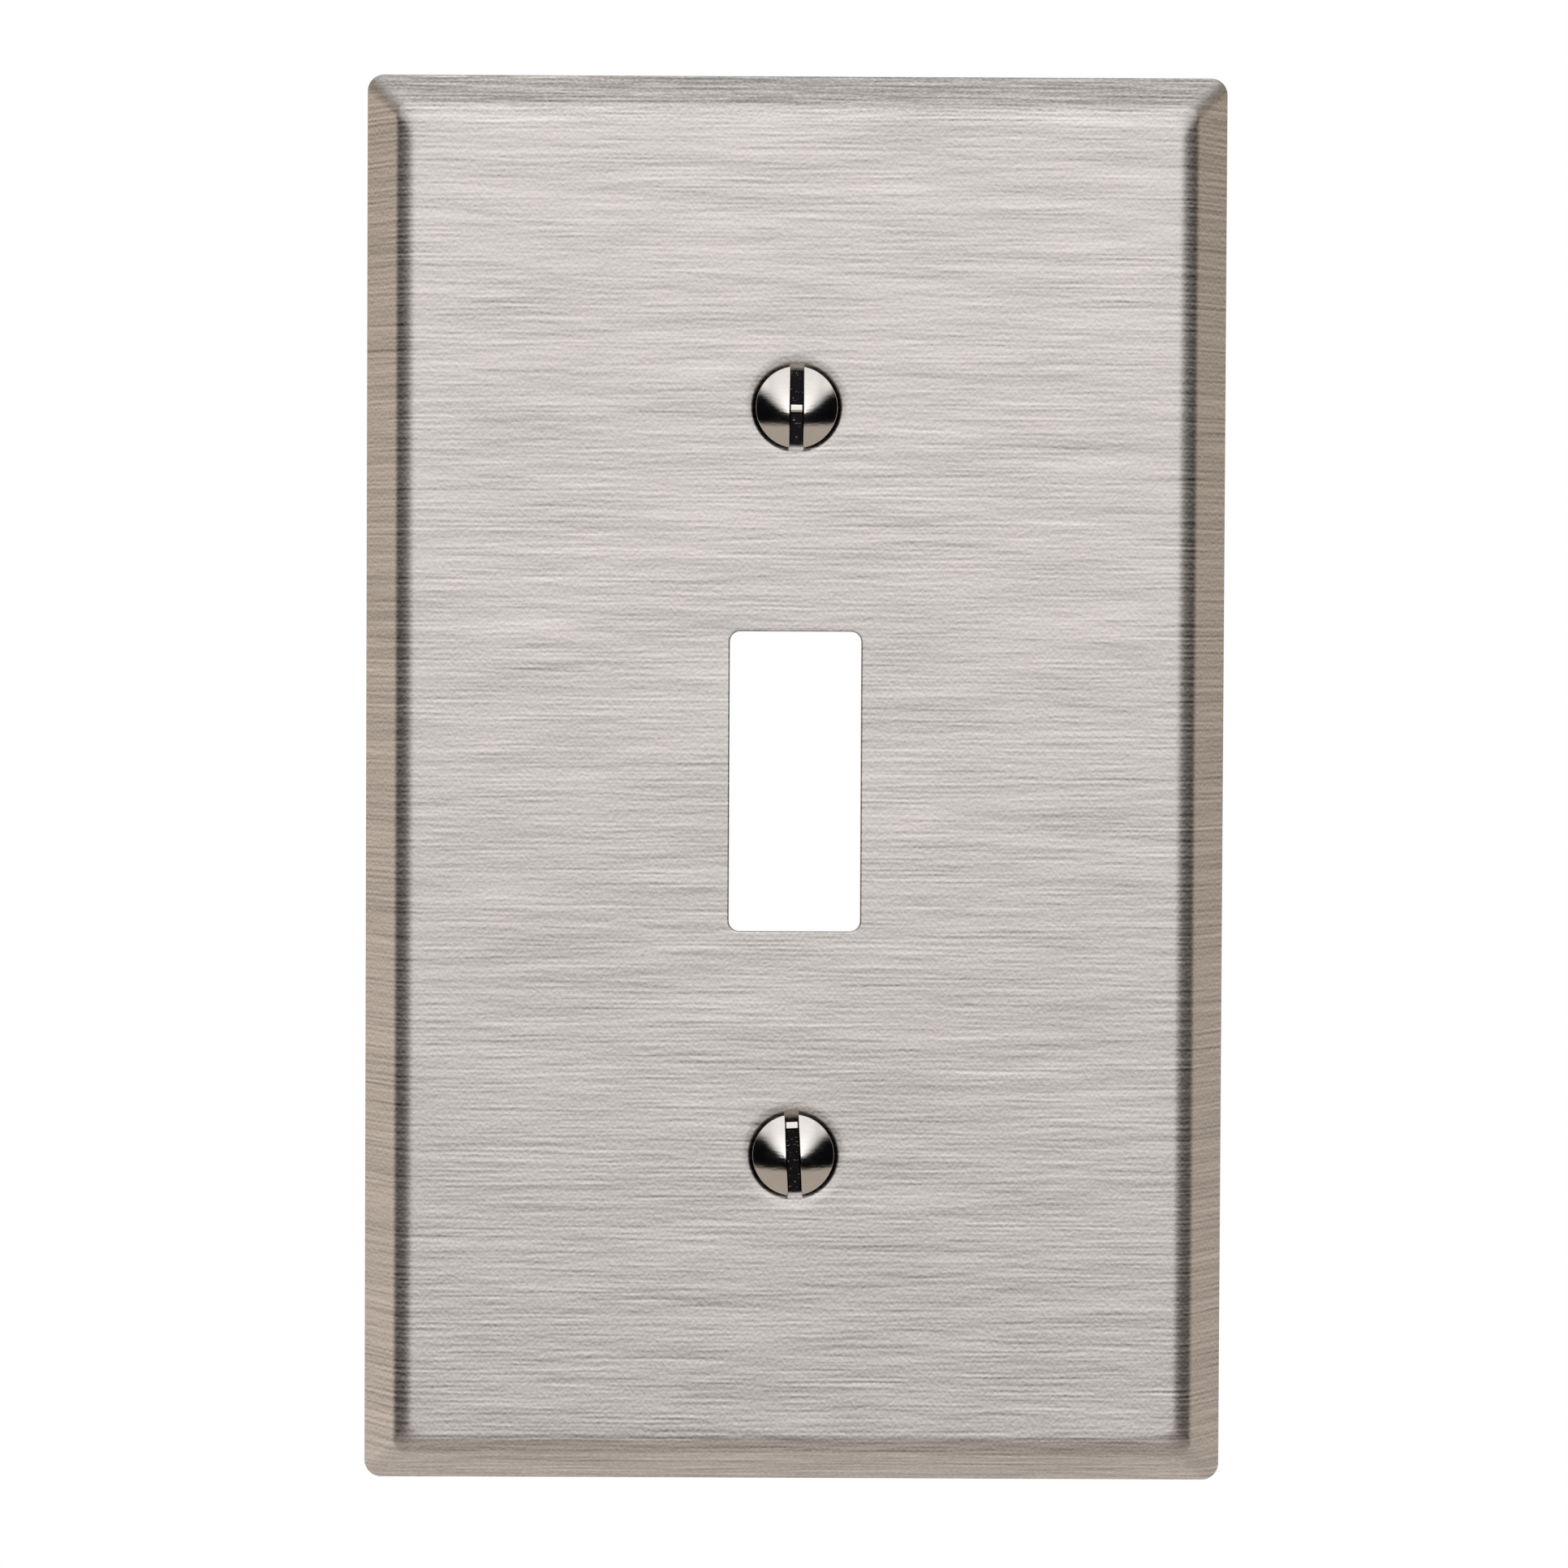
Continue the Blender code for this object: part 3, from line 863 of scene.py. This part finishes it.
def add_surroundings():
    """White behind the object for the camera. What the metal reflects is a dark room in front,
    side walls lit high up, a warm floor below, and a warm wall behind that is brighter lower
    down and to the left."""
    world = bpy.data.worlds.new("studio")
    bpy.context.scene.world = world
    world.use_nodes = True
    tree = world.node_tree
    tree.nodes.clear()
    way = add_node(tree, "ShaderNodeTexCoord").outputs["Generated"]
    side, ahead, up = add_node(tree, "ShaderNodeSeparateXYZ", {0: way}).outputs
    tilt = math_node(tree, "MULTIPLY_ADD", ahead, FLOOR_TILT, up)
    below = map_range(tree, tilt, FLOOR_ZONE, (0.0, 1.0))
    behind = map_range(tree, ahead, BACK_ZONE, (0.0, 1.0))
    low = map_range(tree, up, BACK_LOW_ZONE, (0.0, 1.0))
    high = map_range(tree, up, BACK_HIGH_ZONE, (0.0, 1.0))
    wall = mix_colour(tree, low, BACK_WALL, BACK_WALL_LOW)
    wall = mix_colour(tree, high, wall, BACK_WALL_HIGH)
    gain = map_range(tree, side, BACK_LEFT_TO_RIGHT, BACK_LEFT_TO_RIGHT_GAIN)
    wall = add_node(tree, "ShaderNodeVectorMath", {0: wall, "Scale": gain}, operation="SCALE")
    aside = map_range(tree, math_node(tree, "ABSOLUTE", side), SIDE_ZONE, (0.0, 1.0))
    above = map_range(tree, up, SIDE_ZONE_UP, (0.0, 1.0))
    front = mix_colour(tree, below, DARK_ROOM, WARM_FLOOR)
    front = mix_colour(tree, math_node(tree, "MULTIPLY", aside, above), front, SIDE_WALLS)
    around = mix_colour(tree, behind, front, wall.outputs[0])
    seen = add_node(tree, "ShaderNodeBackground", {"Color": around}).outputs[0]
    white = add_node(tree, "ShaderNodeBackground", {"Color": (1.0, 1.0, 1.0, 1.0)}).outputs[0]
    from_camera = add_node(tree, "ShaderNodeLightPath").outputs["Is Camera Ray"]
    mixed = add_node(tree, "ShaderNodeMixShader", {0: from_camera, 1: seen, 2: white}).outputs[0]
    add_node(tree, "ShaderNodeOutputWorld", {"Surface": mixed})


def add_floor():
    """A plain pale floor below the object, which ends before the camera would see it."""
    bm = bmesh.new()
    corners = (
        (-FLOOR_HALF_WIDTH, FLOOR_FRONT),
        (FLOOR_HALF_WIDTH, FLOOR_FRONT),
        (FLOOR_HALF_WIDTH, FLOOR_BACK),
        (-FLOOR_HALF_WIDTH, FLOOR_BACK),
    )
    bm.faces.new([bm.verts.new((x, y, FLOOR_HEIGHT)) for x, y in corners])
    mesh = bpy.data.meshes.new("floor")
    bm.to_mesh(mesh)
    bm.free()
    material = bpy.data.materials.new("pale_floor")
    material.use_nodes = True
    shader = material.node_tree.nodes["Principled BSDF"]
    shader.inputs["Base Color"].default_value = (0.8, 0.79, 0.775, 1.0)
    shader.inputs["Roughness"].default_value = 0.8
    mesh.materials.append(material)
    floor = bpy.data.objects.new("floor", mesh)
    # The metal reflects the surroundings' own floor instead.
    floor.visible_glossy = False
    bpy.context.scene.collection.objects.link(floor)


# ---- the scene -------------------------------------------------------------------------------


def screw_centre(node):
    low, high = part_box(node)
    return (low + high) / 2


def declare(piece, body, node):
    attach(piece, body)
    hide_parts(node)


upper_centre = screw_centre("upper_screw")
lower_centre = screw_centre("lower_screw")
plate_materials = (brushed_stainless(), mill_stainless(), sheared_stainless())
plate = make_plate(plate_materials, (upper_centre, lower_centre))
declare(plate, "plate", "wall_plate")

# The second material is painted shade for the slot and the head's side
screw_materials = (nickel_plate(), painted_shade_metal())
# The struck ridge in each slot's floor: its place, height and length
upper_marks = ((-0.4 * MM, 0.15 * MM, 0.6 * MM),)
lower_marks = ((2.15 * MM, 0.2 * MM, 0.45 * MM),)
for name, centre, turn, marks in (
    ("upper", upper_centre, UPPER_SLOT_TURN, upper_marks),
    ("lower", lower_centre, LOWER_SLOT_TURN, lower_marks),
):
    screw = make_screw(f"{name}_slotted_screw", centre, turn, marks, screw_materials)
    declare(screw, f"{name}_screw", f"{name}_screw")

add_camera()
add_panel()
add_surroundings()
add_floor()
bpy.context.scene.view_settings.view_transform = "Standard"
